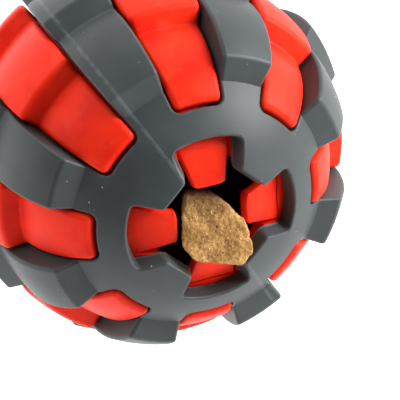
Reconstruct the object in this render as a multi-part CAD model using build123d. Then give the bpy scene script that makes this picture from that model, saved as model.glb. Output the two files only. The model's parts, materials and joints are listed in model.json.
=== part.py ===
from build123d import *
import os
from math import cos, degrees, radians, sin, tan

# Treat dispensing ball: a grey rubber shell with eight windows, moulded in two halves, over a hollow
# red rubber ball whose stepped pads fill the windows. The mouth is a cross of four lobes in the shell,
# with a flexible red tongue in each lobe, and one treat sits between the tongues.
# Millimetres and degrees. Origin at the ball's centre, +Z out of the mouth, lobes along X and Y.

# Walls, from the inside out
chamber_radius = 36.6
core_wall = 3.6
shell_clearance = 0.2
shell_wall = 3.6

# Grey shell: ribs, windows and tread blocks
rib_count = 8
rib_angle = 20.0
window_end_latitude = 53.2
window_corner_round = 2.0
rim_round = 0.5
tread_height = 4.0
heel_rise = 0.6
block_count = 3
first_block_latitude = 46.5
block_face_angle = 5.5
block_shoulder_round = 1.4
block_foot_round = 1.2
block_edge_round = 0.8

# Red ball: pads that stand in the windows
pad_gap = 0.7
pad_height = 5.9
pad_heel_height = 1.9
first_pad_height = 4.4
first_pad_face_angle = 0.3
pad_count = 3
second_pad_latitude = 24.8
pad_face_angle = 3.2
pad_shoulder_round = 1.6
pad_foot_round = 0.9
pad_edge_round = 1.2
core_seam_height = 8.3

# Mouth of the shell, as angles from the +Z axis and about it
lobe_count = 4
flap_end_angle = 18.3
flap_half_angle = 15.75
lobe_end_angle = 27.0
lobe_half_angle = 27.0
lobe_corner_round = 2.2
flap_corner_round = 0.8
mouth_lean = 18.0
seam_past_lobe = 1.8

# Mouth of the red ball and its tongues
core_mouth_angle = 22.0
tongue_hinge_angle = 24.3
tongue_root_width = 12.0
tongue_tip_width = 6.8
tongue_opening = 15.8
tongue_thickness = 2.8
tongue_side_gap = 0.3
tongue_corner_round = 0.9
hinge_clearance = 0.1

# Treat
treat_clearance = 0.3
treat_height = 14.5
treat_proud = 1.9
treat_corner_round = 2.2

# Sizes that follow
core_radius = chamber_radius + core_wall
shell_inner_radius = core_radius + shell_clearance
cap_radius = shell_inner_radius + shell_wall
tread_radius = cap_radius + tread_height
heel_radius = cap_radius + heel_rise
pad_radius = core_radius + pad_height
first_pad_radius = core_radius + first_pad_height
pad_heel_radius = core_radius + pad_heel_height
rib_pitch = 360.0 / rib_count
window_angle = rib_pitch - rib_angle
knuckle_radius = core_wall / 2
hinge_radius = chamber_radius + knuckle_radius
hinge_x = hinge_radius * sin(radians(tongue_hinge_angle))
hinge_z = hinge_radius * cos(radians(tongue_hinge_angle))
seam_azimuth = 360.0 / lobe_count + lobe_half_angle + seam_past_lobe
outside = 2 * tread_radius
tolerance = 0.001


def meridian_point(radius, latitude):
    # A point of the XZ plane, from its distance to the centre and its latitude
    return Vector(radius * cos(radians(latitude)), radius * sin(radians(latitude)))


def cone_point(angle, azimuth):
    # A point of the plane one unit above the centre, on the ray at this angle from +Z
    return Vector(tan(radians(angle)) * cos(radians(azimuth)), tan(radians(angle)) * sin(radians(azimuth)))


def rounded(face, corners, radius):
    # The flat face with these corners rounded
    found = [v for v in face.vertices() for c in corners if (Vector(v) - c).length < tolerance]
    return fillet(found, radius)


def even_fronts(first, last, count):
    # Latitudes at which this many equal blocks begin, from the mouth down
    return [first - (first - last) / count * block for block in range(count)]


def sawtooth_face(feet, crests, root, shoulder_round, foot_round):
    # Meridian section of one tread strip, from the radius and latitude of each block's foot and crest, with
    # the end of the last block as one more foot: each block has a steep face towards the mouth, then a back
    # that leaves its crest level with the ball and falls to the next foot
    first = feet[0][1]
    last = feet[-1][1]
    lines = []
    for foot, crest, following in zip(feet, crests, feet[1:]):
        south = meridian_point(1, crest[1] - 90)
        lines.append(Line(meridian_point(*foot), meridian_point(*crest)))
        lines.append(TangentArc(meridian_point(*crest), meridian_point(*following), tangent=south))
    lines.append(Line(meridian_point(*feet[-1]), meridian_point(root, last)))
    middle = meridian_point(root, (first + last) / 2)
    lines.append(ThreePointArc(meridian_point(root, last), middle, meridian_point(root, first)))
    face = rounded(make_face(lines), [meridian_point(*crest) for crest in crests], shoulder_round)
    return Plane.XZ * rounded(face, [meridian_point(*foot) for foot in feet[1:-1]], foot_round)


def sector(face, angle):
    # The XZ face turned about Z through this angle, half to each side
    return Rot(0, 0, -angle / 2) * revolve(face, Axis.Z, angle)


def around(solid, count):
    return [Rot(0, 0, 360.0 / count * i) * solid for i in range(count)]


def side_edges(solid, angle, least_radius):
    # Edges of a sector that lie on its two flat sides, outside this distance from the centre
    found = []
    for edge in solid.edges():
        points = [edge @ t for t in (0.1, 0.5, 0.9)]
        sides = [abs(abs(p.Y) - p.X * tan(radians(angle / 2))) < tolerance for p in points]
        if all(sides) and all(p.length > least_radius + tolerance for p in points):
            found.append(edge)
    return found


def shell_mouth():
    # Cross of lobes: straight flap ends, sides that open outwards, a round outer edge and leaning walls.
    # Drawn at the flaps' rim, then drawn in to a level below every rim, from where its walls lean both ways
    level = cap_radius * cos(radians(flap_end_angle))
    lobe_level = cap_radius * cos(radians(lobe_end_angle))
    base_level = lobe_level - 2 * rim_round
    depth = base_level - shell_inner_radius * cos(radians(lobe_end_angle)) + rim_round
    lobe_pitch = 360.0 / lobe_count
    flap_side = lobe_pitch / 2 - flap_half_angle
    lines = []
    lobe_corners = []
    flap_corners = []
    for i in range(lobe_count):
        middle = lobe_pitch * i
        start = level * cone_point(flap_end_angle, middle - flap_side)
        low = level * cone_point(lobe_end_angle, middle - lobe_half_angle)
        top = level * cone_point(lobe_end_angle, middle)
        high = level * cone_point(lobe_end_angle, middle + lobe_half_angle)
        end = level * cone_point(flap_end_angle, middle + flap_side)
        following = level * cone_point(flap_end_angle, middle + lobe_pitch - flap_side)
        lines += [Line(start, low), ThreePointArc(low, top, high), Line(high, end), Line(end, following)]
        lobe_corners += [low, high]
        flap_corners += [start, end]
    face = rounded(make_face(lines), lobe_corners, lobe_corner_round)
    face = rounded(face, flap_corners, flap_corner_round)
    draw_in = (level - base_level) * tan(radians(mouth_lean))
    base = Pos(0, 0, base_level) * offset(face, -draw_in, kind=Kind.INTERSECTION)
    height = cap_radius - base_level
    return extrude(base, height, taper=-mouth_lean) + extrude(base, -depth, taper=mouth_lean)


def outer_shell():
    low_inside = meridian_point(chamber_radius, -window_end_latitude)
    low_outside = meridian_point(tread_radius, -window_end_latitude)
    high_outside = meridian_point(tread_radius, window_end_latitude)
    high_inside = meridian_point(chamber_radius, window_end_latitude)
    window_face = Plane.XZ * make_face([
        Line(low_inside, low_outside),
        ThreePointArc(low_outside, (tread_radius, 0), high_outside),
        Line(high_outside, high_inside),
        ThreePointArc(high_inside, (chamber_radius, 0), low_inside),
    ])
    window = sector(window_face, window_angle)
    radial = [e for e in window.edges() if e.geom_type == GeomType.LINE]
    window = fillet(radial, window_corner_round)
    shell = Sphere(cap_radius) - Sphere(shell_inner_radius)
    shell -= around(window, rib_count)
    shell -= shell_mouth()
    rims = [e for e in shell.edges() if abs((e @ 0.5).length - cap_radius) < tolerance]
    shell = fillet(rims, rim_round)
    root = (shell_inner_radius + cap_radius) / 2
    fronts = even_fronts(first_block_latitude, -window_end_latitude, block_count)
    buried_foot = first_block_latitude + block_face_angle * (cap_radius - root) / tread_height
    feet = [(root, buried_foot)] + [(heel_radius, front) for front in fronts[1:] + [-window_end_latitude]]
    crests = [(tread_radius, front - block_face_angle) for front in fronts]
    rib_face = sawtooth_face(feet, crests, root, block_shoulder_round, block_foot_round)
    rib = sector(rib_face, rib_angle)
    rib = fillet(side_edges(rib, rib_angle, root), block_edge_round)
    ribs = around(Rot(0, 0, rib_pitch / 2) * rib, rib_count)
    return shell + ribs


def tongue_slot():
    # Room for one tongue in the red ball: flat walls, the end wall square to the ball at the hinge
    half = tongue_root_width / 2 + tongue_side_gap
    slope = hinge_x / hinge_z
    low = chamber_radius / 2
    side = Plane.XZ * make_face(Polyline((0, low), (slope * low, low), (slope * outside, outside),
                                         (0, outside), close=True))
    return extrude(side, half, both=True)


def hinge_cylinder(radius, length):
    return Pos(hinge_x, 0, hinge_z) * Rot(90, 0, 0) * Cylinder(radius, length)


def inner_ball():
    root = (chamber_radius + core_radius) / 2
    end = window_end_latitude - degrees(pad_gap / cap_radius)
    angle = window_angle - 2 * degrees(pad_gap / cap_radius)
    fronts = even_fronts(second_pad_latitude, -end, pad_count - 1)
    feet = [(root, end)] + [(pad_heel_radius, front) for front in fronts + [-end]]
    crests = [(first_pad_radius, end - first_pad_face_angle)]
    crests += [(pad_radius, front - pad_face_angle) for front in fronts]
    pad_face = sawtooth_face(feet, crests, root, pad_shoulder_round, pad_foot_round)
    pads = sector(pad_face, angle)
    pads = fillet(side_edges(pads, angle, root), pad_edge_round)
    ball = Sphere(core_radius) - Sphere(chamber_radius)
    ball += around(pads, rib_count)
    mouth_spread = outside * tan(radians(core_mouth_angle))
    ball -= Cone(0, mouth_spread, outside, align=(Align.CENTER, Align.CENTER, Align.MIN))
    ball -= around(tongue_slot(), lobe_count)
    socket = hinge_cylinder(knuckle_radius + hinge_clearance, tongue_root_width + 2 * tongue_side_gap)
    return ball - around(socket, lobe_count)


def rises(edge):
    way = edge.tangent_at(0.5)
    return abs(way.Z) > max(abs(way.X), abs(way.Y))


def mouth_tongue():
    # Tapering tongue with the ball's curve from root to tip, straight across, on a round root that turns
    # in the red ball's wall. Its tip is round about the hinge, so that the opening stays when it bends
    outer = hinge_radius + tongue_thickness / 2
    inner = hinge_radius - tongue_thickness / 2
    tip = tongue_opening / 2
    root_latitude = 90 - tongue_hinge_angle
    band = Plane.XZ * make_face([
        Line(meridian_point(inner, root_latitude), meridian_point(outer, root_latitude)),
        RadiusArc(meridian_point(outer, root_latitude), (0, outer), -outer),
        Line((0, outer), (0, inner)),
        RadiusArc((0, inner), meridian_point(inner, root_latitude), inner),
    ])
    root_half = tongue_root_width / 2
    tip_half = tongue_tip_width / 2
    outline = make_face(Polyline((outer, -root_half), (hinge_x, -root_half), (tip, -tip_half),
                                 (tip, tip_half), (hinge_x, root_half), (outer, root_half), close=True))
    blade = extrude(band, tongue_root_width, both=True) & extrude(outline, outside)
    blade &= hinge_cylinder(hinge_x - tip, outside)
    corners = [e for e in blade.edges() if rises(e) and e.center().X < (tip + hinge_x) / 2]
    blade = fillet(corners, tongue_corner_round)
    return blade + hinge_cylinder(knuckle_radius, tongue_root_width)


def treat():
    width = tongue_opening - 2 * treat_clearance
    block = Pos(0, 0, cap_radius + treat_proud - treat_height / 2) * Box(width, width, treat_height)
    return fillet(block.edges(), treat_corner_round)


def save(shape, name):
    export_step(shape, f"parts/{name}.step")


os.makedirs("parts", exist_ok=True)
shell = outer_shell()
seam = Plane(origin=(0, 0, 0), z_dir=(-sin(radians(seam_azimuth)), cos(radians(seam_azimuth)), 0))
half_shell = split(shell, bisect_by=seam, keep=Keep.BOTTOM)
save(half_shell, "outer_shell_right_half")
save(Rot(0, 0, 180) * half_shell, "outer_shell_left_half")
ball = inner_ball()
core_seam = Plane.XY.offset(core_seam_height)
save(split(ball, bisect_by=core_seam, keep=Keep.TOP), "inner_ball_mouth_half")
save(split(ball, bisect_by=core_seam, keep=Keep.BOTTOM), "inner_ball_base_half")
for number, tongue in enumerate(around(mouth_tongue(), lobe_count), 1):
    save(tongue, f"mouth_tongue_{number}")
save(treat(), "treat")
print(f"diameter over the tread {2 * tread_radius:.1f} mm, hinge at x {hinge_x:.3f} z {hinge_z:.3f} mm")
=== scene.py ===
import json
import math
import bpy
from mathutils import Matrix, Vector


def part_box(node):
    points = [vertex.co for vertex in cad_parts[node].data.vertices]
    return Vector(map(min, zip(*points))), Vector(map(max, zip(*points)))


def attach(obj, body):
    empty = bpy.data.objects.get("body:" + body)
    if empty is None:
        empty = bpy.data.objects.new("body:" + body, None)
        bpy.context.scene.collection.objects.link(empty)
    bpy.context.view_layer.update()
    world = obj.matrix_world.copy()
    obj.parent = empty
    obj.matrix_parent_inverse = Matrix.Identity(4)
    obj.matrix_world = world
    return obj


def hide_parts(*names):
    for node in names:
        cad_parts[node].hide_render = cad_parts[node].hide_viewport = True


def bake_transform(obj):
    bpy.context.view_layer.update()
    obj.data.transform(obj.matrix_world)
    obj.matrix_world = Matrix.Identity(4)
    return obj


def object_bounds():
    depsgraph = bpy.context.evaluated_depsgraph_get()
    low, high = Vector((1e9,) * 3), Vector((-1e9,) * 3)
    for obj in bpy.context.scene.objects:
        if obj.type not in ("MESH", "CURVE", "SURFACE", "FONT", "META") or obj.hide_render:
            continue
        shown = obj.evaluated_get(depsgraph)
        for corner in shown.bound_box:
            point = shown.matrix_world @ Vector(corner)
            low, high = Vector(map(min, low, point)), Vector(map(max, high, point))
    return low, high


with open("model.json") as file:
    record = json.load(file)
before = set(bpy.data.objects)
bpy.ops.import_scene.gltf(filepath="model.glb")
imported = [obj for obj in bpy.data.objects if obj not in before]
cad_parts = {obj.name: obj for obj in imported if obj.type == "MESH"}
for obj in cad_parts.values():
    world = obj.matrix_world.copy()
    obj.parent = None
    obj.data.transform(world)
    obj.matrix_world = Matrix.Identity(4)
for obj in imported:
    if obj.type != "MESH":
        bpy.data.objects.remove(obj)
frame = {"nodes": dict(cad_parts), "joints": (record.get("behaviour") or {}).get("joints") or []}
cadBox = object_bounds()
nodes = frame["nodes"]
joints = {joint["name"]: joint for joint in frame["joints"]}
mm = 0.001
print("frame loaded:", len(nodes), "CAD nodes")


# colours as read off a screen, made linear for the shaders
def screenColour(red, green, blue):
    linear = []
    for part in (red, green, blue):
        share = part / 255
        linear.append(share / 12.92 if share <= 0.04045 else ((share + 0.055) / 1.055) ** 2.4)
    return (*linear, 1.0)


# a shader socket that can be used in sums, and the one way to add any other node
class Wire:
    def __init__(self, tree, socket=None):
        self.tree = tree
        self.socket = socket

    def node(self, kind, settings=None, inputs=None, output=0):
        made = self.tree.nodes.new(kind)
        for name, value in (settings or {}).items():
            setattr(made, name, value)
        for name, value in (inputs or {}).items():
            if isinstance(value, Wire):
                self.tree.links.new(value.socket, made.inputs[name])
            else:
                made.inputs[name].default_value = value
        return Wire(self.tree, made.outputs[output] if made.outputs else None)

    def math(self, operation, *values):
        return self.node("ShaderNodeMath", {"operation": operation}, dict(enumerate(values)))

    def __add__(self, other):
        return self.math("ADD", self, other)

    __radd__ = __add__

    def __sub__(self, other):
        return self.math("SUBTRACT", self, other)

    def __rsub__(self, other):
        return self.math("SUBTRACT", other, self)

    def __mul__(self, other):
        return self.math("MULTIPLY", self, other)

    __rmul__ = __mul__

    def __abs__(self):
        return self.math("ABSOLUTE", self)

    # 0 below low, 1 above high, smooth between; low above high turns it round
    def ease(self, low, high):
        return self.node("ShaderNodeMapRange", {"interpolation_type": "SMOOTHSTEP"},
                         {"Value": self, "From Min": low, "From Max": high})

    # colours a and b mixed by this wire
    def blend(self, a, b):
        return self.node("ShaderNodeMix", {"data_type": "RGBA"}, {0: self, 6: a, 7: b}, output=2)

    # how far this place lies along a direction
    def along(self, direction):
        return self.node("ShaderNodeVectorMath", {"operation": "DOT_PRODUCT"}, {0: self, 1: direction},
                         output="Value")

    # a bumped normal from this wire as height
    def bump(self, strength, depth):
        return self.node("ShaderNodeBump", inputs={"Height": self, "Strength": strength, "Distance": depth})


def newMaterial(name):
    material = bpy.data.materials.new(name)
    material.use_nodes = True
    material.node_tree.nodes.clear()
    start = Wire(material.node_tree)
    place = start.node("ShaderNodeTexCoord", output="Object")
    return material, start, place


def finishMaterial(start, sockets):
    surface = start.node("ShaderNodeBsdfPrincipled", inputs=sockets)
    start.node("ShaderNodeOutputMaterial", inputs={"Surface": surface})


noiseMiddle = 0.5


# noise of a given grain size in metres, from 0 to 1
def grain(place, size, detail=2.0, rough=0.5):
    return place.node("ShaderNodeTexNoise", inputs={"Vector": place, "Scale": 1 / size, "Detail": detail,
                                                    "Roughness": rough}, output="Fac")


speckLook = {"core": 0.5, "drawEdge": 0.9}      # shares of the spot and of the draw that are full


# small round spots, thinned out to a share of the cells
def specks(place, cell, radius, share):
    settings = {"feature": "F1"}
    inputs = {"Vector": place, "Scale": 1 / cell}
    distance = place.node("ShaderNodeTexVoronoi", settings, inputs, output="Distance")
    cellColour = place.node("ShaderNodeTexVoronoi", settings, inputs, output="Color")
    draw = place.node("ShaderNodeSeparateColor", inputs={"Color": cellColour}, output="Red")
    spot = distance.ease(radius / cell, speckLook["core"] * radius / cell)
    return spot * draw.ease(share, speckLook["drawEdge"] * share)


edgeSamples = 8


# rounded outer edges of the same piece, where rubber wears pale
def wornEdges(place, reach):
    settings = {"inside": True, "only_local": True, "samples": edgeSamples}
    inside = place.node("ShaderNodeAmbientOcclusion", settings, {"Distance": reach}, output="AO")
    return 1 - inside


greyLook = {
    "colour": screenColour(63, 69, 69),
    "dark": screenColour(53, 58, 59),
    "worn": screenColour(100, 108, 107),
    "dust": screenColour(205, 208, 204),
    "mottle": {"size": 14 * mm, "detail": 3},
    "mottleEdges": (0.32, 0.68),
    "grain": {"size": 0.35 * mm, "detail": 2},
    "edgeReach": 0.9 * mm,
    "edgeWear": (0.1, 0.42),
    "wearPatch": {"size": 2.5 * mm, "detail": 3},
    "wearEdges": (0.25, 0.6),
    "wornShare": 0.75,
    "seamWidth": 0.12 * mm,
    "seamCore": 0.4,
    "seamPatch": {"size": 3 * mm, "detail": 2},
    "seamEdges": (0.35, 0.6),
    "seamShare": 0.2,
    "specks": {"cell": 4 * mm, "radius": 0.22 * mm, "share": 0.55},
    "fineSpecks": {"cell": 2.2 * mm, "radius": 0.1 * mm, "share": 0.3},
    "dustShare": 0.8,
    "roughness": 0.46,
    "mottleRough": 0.1,
    "grainRough": 0.08,
    "dustRough": 0.1,
    "bump": {"strength": 0.12, "depth": 0.06 * mm},
    "gloss": 0.3,
}


# the worn share is how pale the edges go
def greyRubber(name, seamNormal, wornShare):
    look = greyLook
    material, start, place = newMaterial(name)
    mottle = grain(place, **look["mottle"])
    fine = grain(place, **look["grain"])
    colour = mottle.ease(*look["mottleEdges"]).blend(look["dark"], look["colour"])
    worn = wornEdges(place, look["edgeReach"]).ease(*look["edgeWear"])
    worn = worn * grain(place, **look["wearPatch"]).ease(*look["wearEdges"])
    colour = (worn * wornShare).blend(colour, look["worn"])
    seam = abs(place.along(seamNormal)).ease(look["seamWidth"], look["seamCore"] * look["seamWidth"])
    seam = seam * grain(place, **look["seamPatch"]).ease(*look["seamEdges"])
    colour = (seam * look["seamShare"]).blend(colour, look["worn"])
    dust = specks(place, **look["specks"]) + specks(place, **look["fineSpecks"])
    colour = (dust * look["dustShare"]).blend(colour, look["dust"])
    rough = look["roughness"] + look["mottleRough"] * (mottle - noiseMiddle)
    rough = rough + look["grainRough"] * (fine - noiseMiddle) + look["dustRough"] * dust
    finishMaterial(start, {"Base Color": colour, "Roughness": rough, "Normal": fine.bump(**look["bump"]),
                           "Specular IOR Level": look["gloss"]})
    return material


redLook = {
    "colour": screenColour(243, 44, 15),
    "deep": screenColour(226, 30, 9),
    "bloom": screenColour(240, 88, 64),
    # the dark colour of the hollow is painted shade, for the little light that gets inside
    "inside": screenColour(120, 14, 16),
    "insideRadius": 36.9 * mm,       # the hollow is darkened with painted shade up to here
    "insideEdge": 0.2 * mm,
    # how much of that painted shade the ball and the tongues get
    "ballHollowShade": 1.0,
    "tongueHollowShade": 0.0,
    "mottle": {"size": 9 * mm, "detail": 3},
    "mottleEdges": (0.3, 0.62),
    "grain": {"size": 0.3 * mm, "detail": 2},
    "bloomPatch": {"size": 6 * mm, "detail": 4, "rough": 0.6},
    "bloomEdges": (0.5, 0.78),
    "bloomShare": 0.35,
    "edgeReach": 1.4 * mm,
    "edgeWear": (0.1, 0.5),
    "wornShare": 0.25,
    "seamWidth": 0.16 * mm,
    "seamCore": 0.3,
    "seamShare": 0.7,
    "seamDepth": 0.8,
    "specks": {"cell": 6 * mm, "radius": 0.12 * mm, "share": 0.25},
    "dustShare": 0.5,
    "roughness": 0.46,
    "mottleRough": 0.12,
    "bloomRough": 0.15,
    "grainRough": 0.06,
    "bump": {"strength": 0.1, "depth": 0.06 * mm},
    "gloss": 0.13,
}


# the hollow shade share is how much painted shade darkens the hollow; the tongues have none
def redRubber(name, seamHeight, hollowShadeShare):
    look = redLook
    material, start, place = newMaterial(name)
    mottle = grain(place, **look["mottle"])
    fine = grain(place, **look["grain"])
    colour = mottle.ease(*look["mottleEdges"]).blend(look["deep"], look["colour"])
    bloom = grain(place, **look["bloomPatch"]).ease(*look["bloomEdges"])
    colour = (bloom * look["bloomShare"]).blend(colour, look["bloom"])
    worn = wornEdges(place, look["edgeReach"]).ease(*look["edgeWear"])
    colour = (worn * look["wornShare"]).blend(colour, look["colour"])
    height = place.node("ShaderNodeSeparateXYZ", inputs={"Vector": place}, output="Z")
    seam = abs(height - seamHeight).ease(look["seamWidth"], look["seamCore"] * look["seamWidth"])
    colour = (seam * look["seamShare"]).blend(colour, look["deep"])
    dust = specks(place, **look["specks"])
    colour = (dust * look["dustShare"]).blend(colour, greyLook["dust"])
    depth = place.node("ShaderNodeVectorMath", {"operation": "LENGTH"}, {0: place}, output="Value")
    # painted shade: the inside of the hollow is darkened where little light gets in
    hollow = depth.ease(look["insideRadius"] + look["insideEdge"], look["insideRadius"])
    colour = (hollow * hollowShadeShare).blend(colour, look["inside"])
    rough = look["roughness"] + look["mottleRough"] * (mottle - noiseMiddle) + look["bloomRough"] * bloom
    rough = rough + look["grainRough"] * (fine - noiseMiddle)
    relief = fine - seam * look["seamDepth"]
    finishMaterial(start, {"Base Color": colour, "Roughness": rough, "Normal": relief.bump(**look["bump"]),
                           "Specular IOR Level": look["gloss"]})
    return material


biscuitLook = {
    "crust": screenColour(164, 119, 65),
    "gold": screenColour(208, 161, 98),
    "dark": screenColour(92, 58, 28),
    "pale": screenColour(222, 188, 138),
    # the dark colour of the treat's deeper end is painted shade
    "paintedShade": screenColour(70, 44, 22),
    "paintedShadeWay": (0.22, 0.88, -0.42),      # painted shade: the end that lay deeper in the ball is darker
    "paintedShadeReach": (-15.6 * mm, -11.0 * mm),
    "paintedShadeShare": 0.8,
    "patch": {"size": 4 * mm, "detail": 4, "rough": 0.6},
    "patchEdges": (0.35, 0.65),
    "crumb": {"size": 0.6 * mm, "detail": 3, "rough": 0.65},
    "crumbEdges": (0.56, 0.36),
    "crumbShare": 0.45,
    "crumbRough": 0.1,
    "flecks": {"cell": 0.9 * mm, "radius": 0.3 * mm, "share": 0.4},
    "fleckShare": 0.4,
    "fleckHeight": 0.4,
    "pits": {"cell": 2.6 * mm, "radius": 0.35 * mm, "share": 0.3},
    "pitShare": 0.7,
    "pitDepth": 0.8,
    "roughness": 0.82,
    "bump": {"strength": 0.85, "depth": 0.3 * mm},
    "gloss": 0.25,
}


def bakedBiscuit():
    look = biscuitLook
    material, start, place = newMaterial("baked_biscuit")
    patches = grain(place, **look["patch"])
    crumbs = grain(place, **look["crumb"])
    colour = patches.ease(*look["patchEdges"]).blend(look["crust"], look["gold"])
    colour = (crumbs.ease(*look["crumbEdges"]) * look["crumbShare"]).blend(colour, look["dark"])
    flecks = specks(place, **look["flecks"])
    colour = (flecks * look["fleckShare"]).blend(colour, look["pale"])
    pits = specks(place, **look["pits"])
    colour = (pits * look["pitShare"]).blend(colour, look["dark"])
    # painted shade: darker towards the end that lay deeper in the ball, where the flaps and tongues shade it
    paintedShade = place.along(look["paintedShadeWay"]).ease(*look["paintedShadeReach"])
    colour = (paintedShade * look["paintedShadeShare"]).blend(colour, look["paintedShade"])
    relief = crumbs + look["fleckHeight"] * flecks - look["pitDepth"] * pits
    rough = look["roughness"] + look["crumbRough"] * (crumbs - noiseMiddle)
    finishMaterial(start, {"Base Color": colour, "Roughness": rough, "Normal": relief.bump(**look["bump"]),
                           "Specular IOR Level": look["gloss"]})
    return material


def dress(piece, material):
    piece.data.materials.clear()
    piece.data.materials.append(material)


def selectOnly(piece):
    bpy.ops.object.select_all(action="DESELECT")
    piece.select_set(True)
    bpy.context.view_layer.objects.active = piece


# applies every modifier of the piece in turn
def applyModifiers(piece):
    selectOnly(piece)
    for modifier in list(piece.modifiers):
        bpy.ops.object.modifier_apply(modifier=modifier.name)


# in edit mode, selects the vertices for which the test is true
def pickVertices(piece, test):
    bpy.ops.mesh.select_mode(type="VERT")
    bpy.ops.mesh.select_all(action="DESELECT")
    bpy.ops.object.mode_set(mode="OBJECT")
    for vertex in piece.data.vertices:
        vertex.select = bool(test(vertex.co))
    bpy.ops.object.mode_set(mode="EDIT")


# in edit mode, selects the edges whose two ends pass the test
def pickEdges(piece, test):
    bpy.ops.mesh.select_mode(type="EDGE")
    bpy.ops.mesh.select_all(action="DESELECT")
    bpy.ops.object.mode_set(mode="OBJECT")
    points = piece.data.vertices
    for edge in piece.data.edges:
        edge.select = bool(test(points[edge.vertices[0]].co, points[edge.vertices[1]].co))
    bpy.ops.object.mode_set(mode="EDIT")


seamLook = {
    "node": "outer_shell_right_half",
    "name": "shell_seam_ridge",
    "radius": 0.045 * mm,
    "roundness": 1,
    "innerShare": 0.955,         # of the far cap's radius; there is no flash nearer the centre
    "wornShare": 0.12,
    "faceTolerance": 0.01 * mm,
    "leanTolerance": 0.01,
    "weld": 0.002 * mm,
    "edgeTolerance": 0.02 * mm,
}


# the seam of the two shell halves, as the frame has it: the flat faces where one half ends
def findSeamNormal():
    look = seamLook
    flat = [face.normal for face in nodes[look["node"]].data.polygons
            if abs(face.center.dot(face.normal)) < look["faceTolerance"]
            and abs(face.normal.z) < look["leanTolerance"]]
    return flat[0].normalized()


# the thin line of flash that the mould left along the shell's seam, over its outside only
def makeShellSeam(seamNormal, material):
    look = seamLook
    ridge = bpy.data.objects.new(look["name"], nodes[look["node"]].data.copy())
    bpy.context.scene.collection.objects.link(ridge)
    outside = look["innerShare"] * max(abs(vertex.co.z) for vertex in ridge.data.vertices)
    selectOnly(ridge)
    bpy.ops.object.mode_set(mode="EDIT")
    bpy.ops.mesh.select_all(action="SELECT")
    bpy.ops.mesh.remove_doubles(threshold=look["weld"])
    pickVertices(ridge, lambda co: abs(co.dot(seamNormal)) > look["edgeTolerance"])
    bpy.ops.mesh.delete(type="VERT")
    bpy.ops.mesh.select_mode(type="EDGE")
    bpy.ops.mesh.select_all(action="DESELECT")
    bpy.ops.mesh.select_non_manifold(use_wire=True, use_boundary=True, use_multi_face=False,
                                     use_non_contiguous=False, use_verts=False)
    bpy.ops.mesh.select_all(action="INVERT")
    bpy.ops.mesh.delete(type="EDGE")
    bpy.ops.mesh.select_all(action="SELECT")
    bpy.ops.mesh.delete(type="ONLY_FACE")
    bpy.ops.mesh.select_mode(type="VERT")
    pickVertices(ridge, lambda co: co.length < outside)
    bpy.ops.mesh.delete(type="VERT")
    bpy.ops.object.mode_set(mode="OBJECT")
    print("seam ridge:", len(ridge.data.edges), "runs")
    selectOnly(ridge)
    bpy.ops.object.convert(target="CURVE")
    ridge.data.bevel_depth = look["radius"]
    ridge.data.bevel_resolution = look["roundness"]
    ridge.data.use_fill_caps = True
    bpy.ops.object.convert(target="MESH")
    bpy.ops.object.shade_smooth()
    dress(ridge, material)
    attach(ridge, "ball")


tongueLook = {
    "rootAngle": 26.3,       # degrees from the mouth's axis, as are the next three
    "bendStart": 25.5,
    "bendEnd": 22.0,
    "tipAngle": 12.0,
    "rootWidth": 12.4 * mm,
    "tipWidth": 7.2 * mm,
    "thickness": 2.7 * mm,
    "lift": 0.12 * mm,       # middle of the tongue above the hinge line, a small step below the ball outside
    "steps": 12,
    "cornerRound": 1.4 * mm,
    "cornerSegments": 3,
    "edgeRound": 0.5 * mm,
    "edgeSegments": 2,
    "sharpAngle": 50.0,
    "smoothing": 1,
    "tolerance": 0.01 * mm,
}


# a point of the tongue's middle line, on the ball's own curve
def tonguePoint(angle):
    hinge = joints["tongue_1_bend"]["pos_m"]
    radius = math.hypot(hinge[0], hinge[2]) + tongueLook["lift"]
    return Vector((radius * math.sin(angle), 0, radius * math.cos(angle)))


# angle of a point from the mouth's axis, in the tongue's own plane
def slant(co):
    return math.atan2(co.x, co.z)


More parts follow.
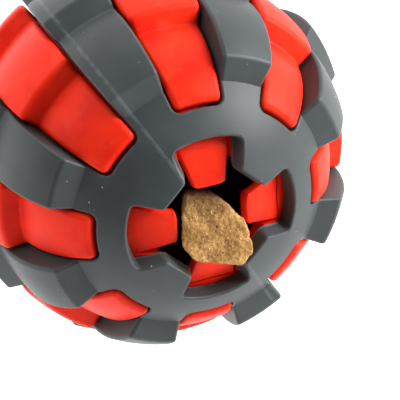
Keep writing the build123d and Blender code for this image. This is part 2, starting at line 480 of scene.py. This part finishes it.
def modelTongue():
    look = tongueLook
    root = math.radians(look["rootAngle"])
    turn = (root - math.radians(look["tipAngle"])) / look["steps"]
    narrowing = (look["tipWidth"] - look["rootWidth"]) / look["steps"]
    bpy.ops.object.select_all(action="DESELECT")
    bpy.ops.mesh.primitive_plane_add(size=1, location=tonguePoint(root),
                                     rotation=(0, root - math.pi / 2, 0))
    tongue = bpy.context.object
    tongue.scale = (look["thickness"], look["rootWidth"], 1)
    bpy.ops.object.transform_apply(location=True, rotation=True, scale=True)
    bpy.ops.object.mode_set(mode="EDIT")
    bpy.ops.mesh.select_all(action="SELECT")
    width = look["rootWidth"]
    for step in range(1, look["steps"] + 1):
        here = tonguePoint(root - step * turn)
        move = here - tonguePoint(root - (step - 1) * turn)
        bpy.ops.mesh.extrude_region_move(TRANSFORM_OT_translate={"value": move})
        bpy.ops.transform.rotate(value=turn, orient_axis="Y", center_override=here)
        bpy.ops.transform.resize(value=(1, (width + narrowing) / width, 1), center_override=here)
        width += narrowing
    bpy.ops.mesh.select_all(action="SELECT")
    bpy.ops.mesh.normals_make_consistent(inside=False)
    tipEdge = math.radians(look["tipAngle"]) + turn / 2
    rootEdge = root - turn / 2
    pickEdges(tongue, lambda a, b: max(slant(a), slant(b)) < tipEdge and abs(a.y - b.y) < look["tolerance"])
    bpy.ops.mesh.bevel(offset=look["cornerRound"], segments=look["cornerSegments"], affect="EDGES")
    bpy.ops.mesh.select_all(action="DESELECT")
    bpy.ops.mesh.edges_select_sharp(sharpness=math.radians(look["sharpAngle"]))
    bpy.ops.object.mode_set(mode="OBJECT")
    points = tongue.data.vertices
    for edge in tongue.data.edges:
        if min(slant(points[corner].co) for corner in edge.vertices) > rootEdge:
            edge.select = False      # the crisp line across the root
    bpy.ops.object.mode_set(mode="EDIT")
    bpy.ops.mesh.bevel(offset=look["edgeRound"], segments=look["edgeSegments"], affect="EDGES")
    pickEdges(tongue, lambda a, b: min(slant(a), slant(b)) > rootEdge)
    bpy.ops.transform.edge_crease(value=1)
    bpy.ops.mesh.select_all(action="SELECT")
    bpy.ops.mesh.normals_make_consistent(inside=False)
    bpy.ops.object.mode_set(mode="OBJECT")
    smooth = tongue.modifiers.new("soften", "SUBSURF")
    smooth.levels = look["smoothing"]
    smooth.render_levels = look["smoothing"]
    applyModifiers(tongue)
    bpy.ops.object.shade_smooth()
    return tongue


# one tongue modelled, the others turned copies
def makeTongues(material):
    first = modelTongue()
    tongues = [name for name in sorted(nodes) if name.startswith("mouth_tongue_")]
    shape = first.data.copy()
    for index, name in enumerate(tongues):
        turn = Matrix.Rotation(2 * math.pi * index / len(tongues), 4, "Z")
        tongue = first
        if index:
            tongue = bpy.data.objects.new("tongue", shape.copy())
            bpy.context.scene.collection.objects.link(tongue)
            tongue.data.transform(turn)
        tongue.name = f"soft_tongue_{index + 1}"
        dress(tongue, material)
        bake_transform(tongue)
        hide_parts(name)
    print("tongues:", len(tongues), "of", len(shape.polygons), "faces")


# the treat's broken top face, clockwise from above, whose walls all run towards one point below;
# these places and the spare size are in millimetres
treatLook = {
    "name": "treat_chunk",
    "corners": [(-6.4, 7.5, 37.7), (2.1, 5.3, 40.0), (7.2, -1.2, 42.9), (7.9, -7.3, 44.9),
                (4.3, -10.9, 45.5), (-6.5, -8.0, 42.6), (-8.5, -4.2, 41.0), (-7.6, 1.6, 39.4)],
    "wallsMeet": (1.5, 2.5, 20.0),
    "bottom": 32.4,
    "spare": 10.0,
    "edgeRound": 0.9 * mm,
    "edgeSegments": 2,
    "voxel": 0.3 * mm,
    "relief": {"lumps": {"depth": 0.9 * mm, "size": 5.0 * mm},
               "crumbs": {"depth": 0.6 * mm, "size": 1.0 * mm}},
    "reliefDetail": 2,
    "reliefMiddle": 0.55,
}


# in edit mode, breaks off what lies beyond a plane
def breakOff(point, outwards):
    bpy.ops.mesh.select_all(action="SELECT")
    bpy.ops.mesh.bisect(plane_co=point, plane_no=outwards.normalized(), use_fill=True, clear_outer=True)


def makeTreat(material):
    look = treatLook
    low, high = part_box("treat")
    spare = look["spare"] * mm
    bpy.ops.object.select_all(action="DESELECT")
    bpy.ops.mesh.primitive_cube_add(size=1, location=(low + high) / 2,
                                    scale=high - low + Vector((spare, spare, spare)))
    chunk = bpy.context.object
    chunk.name = look["name"]
    bpy.ops.object.transform_apply(location=True, rotation=True, scale=True)
    corners = [Vector(corner) * mm for corner in look["corners"]]
    foot = Vector(look["wallsMeet"]) * mm
    bpy.ops.object.mode_set(mode="EDIT")
    breakOff(corners[0], (corners[4] - corners[0]).cross(corners[2] - corners[0]))
    breakOff(Vector((0, 0, look["bottom"] * mm)), Vector((0, 0, -1)))
    for corner, following in zip(corners, corners[1:] + corners[:1]):
        breakOff(corner, (following - corner).cross(foot - corner))
    bpy.ops.mesh.select_all(action="SELECT")
    bpy.ops.mesh.bevel(offset=look["edgeRound"], segments=look["edgeSegments"])
    bpy.ops.object.mode_set(mode="OBJECT")
    remesh = chunk.modifiers.new("crumb", "REMESH")
    remesh.mode = "VOXEL"
    remesh.voxel_size = look["voxel"]
    for label, relief in look["relief"].items():
        texture = bpy.data.textures.new(label, "CLOUDS")
        texture.noise_scale = relief["size"]
        texture.noise_depth = look["reliefDetail"]
        push = chunk.modifiers.new(label, "DISPLACE")
        push.texture = texture
        push.texture_coords = "LOCAL"
        push.strength = relief["depth"]
        push.mid_level = look["reliefMiddle"]
    applyModifiers(chunk)
    bpy.ops.object.shade_smooth()
    dress(chunk, material)
    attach(chunk, "treat")
    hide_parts("treat")
    print("treat:", len(chunk.data.polygons), "faces")


stageLook = {
    "floorSize": 6.0,
    "floorColour": screenColour(240, 240, 240),
    "floorPale": screenColour(246, 246, 246),
    "floorPatch": 0.4,
    "floorRoughness": 0.7,
    "floorGlow": 0.75,
    "tentWall": 2.1,         # brightness of the light tent all round
    "tentMouth": 0.16,       # and of its dark opening in front of the camera
    "mouthEdge": (0.05, 0.75),       # cosines from the camera's way at which the opening begins and is full
}


def makeFloor():
    look = stageLook
    bpy.ops.object.select_all(action="DESELECT")
    bpy.ops.mesh.primitive_plane_add(size=look["floorSize"], location=(0, 0, cadBox[0].z))
    floor = bpy.context.object
    floor.name = "floor"
    material, start, place = newMaterial("pale_floor")
    shade = grain(place, look["floorPatch"]).blend(look["floorColour"], look["floorPale"])
    finishMaterial(start, {"Base Color": shade, "Roughness": look["floorRoughness"],
                           "Emission Color": (1, 1, 1, 1), "Emission Strength": look["floorGlow"]})
    dress(floor, material)
    floor.visible_diffuse = False
    floor.visible_glossy = False


# white tent walls, darker where the camera looks in
def makeTent(back):
    world = bpy.data.worlds.new("light_tent")
    world.use_nodes = True
    world.node_tree.nodes.clear()
    start = Wire(world.node_tree)
    way = start.node("ShaderNodeTexCoord", output="Generated")
    opening = way.along(back).ease(*stageLook["mouthEdge"])
    wall = stageLook["tentWall"]
    strength = wall + (stageLook["tentMouth"] - wall) * opening
    light = start.node("ShaderNodeBackground", inputs={"Color": (1, 1, 1, 1), "Strength": strength})
    start.node("ShaderNodeOutputWorld", inputs={"Surface": light})
    bpy.context.scene.world = world
    bpy.context.scene.view_settings.view_transform = "Standard"


# the photograph's camera: its angles in the ball's frame in degrees, its distance from the ball's centre,
# and how far right and up of the centre it aims
cameraLook = {
    "azimuth": 121.08,
    "elevation": 56.61,
    "roll": 139.9,
    "distance": 470 * mm,
    "lens": 176,
    "sensor": 36,
    "clipStart": 10 * mm,
    "aimRight": 11.9 * mm,
    "aimUp": -13.05 * mm,
}


def cameraAxes():
    look = cameraLook
    azimuth = math.radians(look["azimuth"])
    elevation = math.radians(look["elevation"])
    back = Vector((math.cos(azimuth) * math.cos(elevation),
                   math.sin(azimuth) * math.cos(elevation),
                   math.sin(elevation)))
    level = Vector((0, 0, 1)).cross(back).normalized()
    turn = Matrix.Rotation(math.radians(look["roll"]), 3, back)
    right = turn @ level
    return right, back.cross(right), back


def makeCamera():
    look = cameraLook
    right, up, back = cameraAxes()
    print("camera right", [round(x, 4) for x in right], "up", [round(x, 4) for x in up])
    camera = bpy.data.objects.new("camera", bpy.data.cameras.new("camera"))
    bpy.context.scene.collection.objects.link(camera)
    camera.location = back * look["distance"]
    aim = right * look["aimRight"] + up * look["aimUp"]
    away = (camera.location - aim).normalized()
    across = up.cross(away).normalized()
    axes = Matrix((across, away.cross(across), away)).transposed()
    camera.rotation_euler = axes.to_euler()
    camera.data.lens = look["lens"]
    camera.data.sensor_width = look["sensor"]
    camera.data.clip_start = look["clipStart"]
    bpy.context.scene.camera = camera
    return right, up, back


# soft boxes, each placed by how far right, up and back of the camera's view it stands; one adds no gloss
lightLook = {
    "key": {"place": (0.36, 0.16, 0.18), "size": 0.2, "power": 2.7, "gloss": True},
    "fill": {"place": (-0.3, 0.24, 0.24), "size": 0.4, "power": 0.85, "gloss": False},
}


def makeLights(right, up, back):
    for name, look in lightLook.items():
        lamp = bpy.data.lights.new(name, "AREA")
        lamp.size = look["size"]
        lamp.energy = look["power"]
        light = bpy.data.objects.new(name, lamp)
        bpy.context.scene.collection.objects.link(light)
        light.visible_glossy = look["gloss"]
        light.location = right * look["place"][0] + up * look["place"][1] + back * look["place"][2]
        light.rotation_euler = light.location.to_track_quat("Z", "Y").to_euler()


makeFloor()
right, up, back = makeCamera()
makeTent(back)
makeLights(right, up, back)
print("stage, camera and lights placed")

seamNormal = findSeamNormal()
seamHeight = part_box("inner_ball_base_half")[1].z
grey = greyRubber("grey_rubber_moulded", seamNormal, greyLook["wornShare"])
flash = greyRubber("grey_rubber_flash", seamNormal, seamLook["wornShare"])
# the ball's hollow gets painted shade, the tongues get none
red = redRubber("red_rubber_moulded", seamHeight, redLook["ballHollowShade"])
tongueRed = redRubber("red_rubber_tongue", seamHeight, redLook["tongueHollowShade"])
biscuit = bakedBiscuit()
for name, node in nodes.items():
    dress(node, grey if name.startswith("outer_shell") else red)
makeShellSeam(seamNormal, flash)
makeTongues(tongueRed)
makeTreat(biscuit)
print("materials on:", len(nodes), "nodes")
